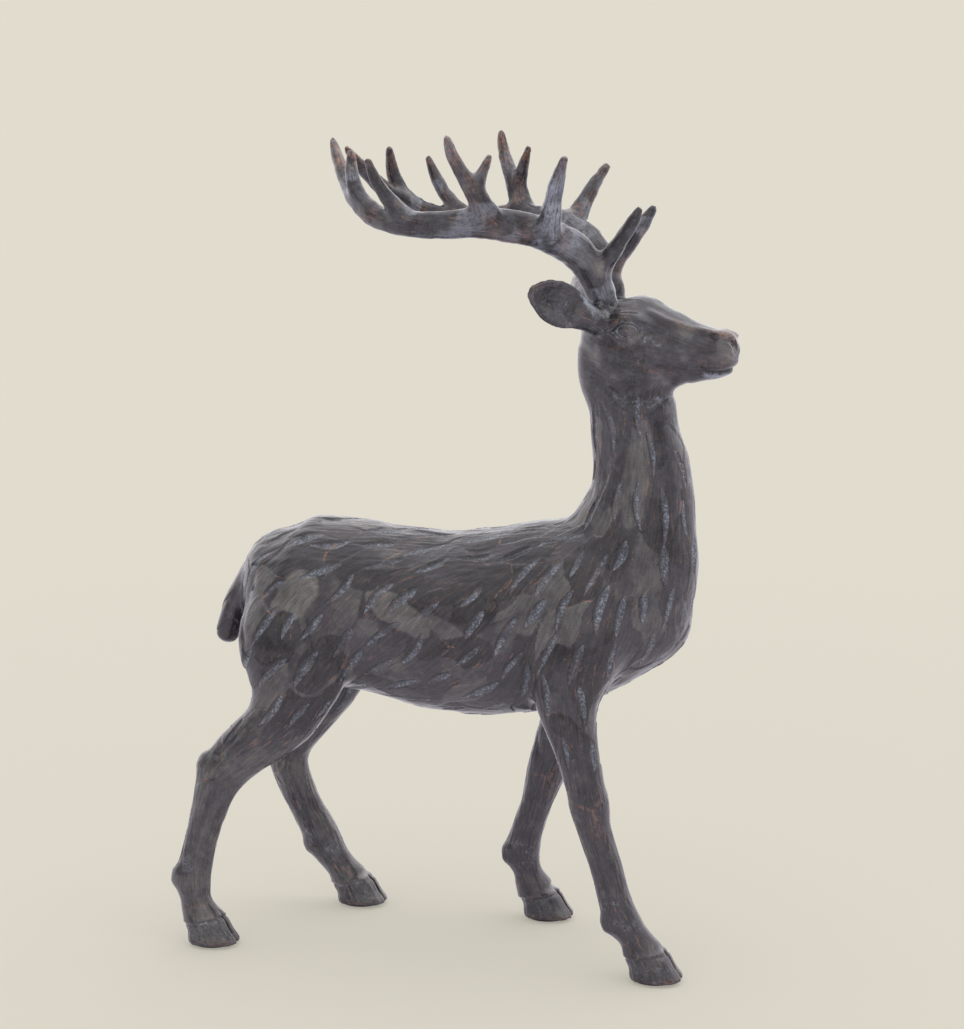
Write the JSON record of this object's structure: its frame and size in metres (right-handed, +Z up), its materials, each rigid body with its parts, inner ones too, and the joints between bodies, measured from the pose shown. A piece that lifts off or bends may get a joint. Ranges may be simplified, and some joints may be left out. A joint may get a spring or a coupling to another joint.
{
  "type": "stag statuette",
  "caption": "Walking antlered stag in dark patinated bronze, a hollow body and head with cast-on-joint legs, antlers, ears and tail, standing on felt-padded hooves.",
  "frame": {"origin": "centre of the footprint, on the ground plane under the four felt pads", "axes": "+X towards the stag's head, +Y to the stag's left, +Z up"},
  "size_m": [0.343, 0.1404, 0.5029],
  "materials": {
    "bronze": "dark grey-brown patina, waxed satin, with speckled blue-grey colour in the gouge cuts",
    "pin_bronze": "bare bronze rod, filed flush",
    "felt": "black wool felt"
  },
  "bodies": {
    "root": {"torso_shell": "bronze", "head_shell": "bronze", "foreleg_right": "bronze", "foreleg_left": "bronze", "hindleg_right": "bronze", "hindleg_left": "bronze", "antler_right": "bronze", "antler_left": "bronze", "ear_right": "bronze", "ear_left": "bronze", "tail": "bronze", "neck_pin_right": "pin_bronze", "neck_pin_left": "pin_bronze", "antler_pin_right": "pin_bronze", "antler_pin_left": "pin_bronze", "foreleg_pin_right": "pin_bronze", "foreleg_pin_left": "pin_bronze", "hindleg_pin_right": "pin_bronze", "hindleg_pin_left": "pin_bronze", "belly_plug": "pin_bronze", "core_plug_rear_right": "pin_bronze", "core_plug_rear_left": "pin_bronze", "core_plug_front_right": "pin_bronze", "core_plug_front_left": "pin_bronze", "forefoot_pad_right": "felt", "forefoot_pad_left": "felt", "hindfoot_pad_right": "felt", "hindfoot_pad_left": "felt"}
  },
  "joints": []
}
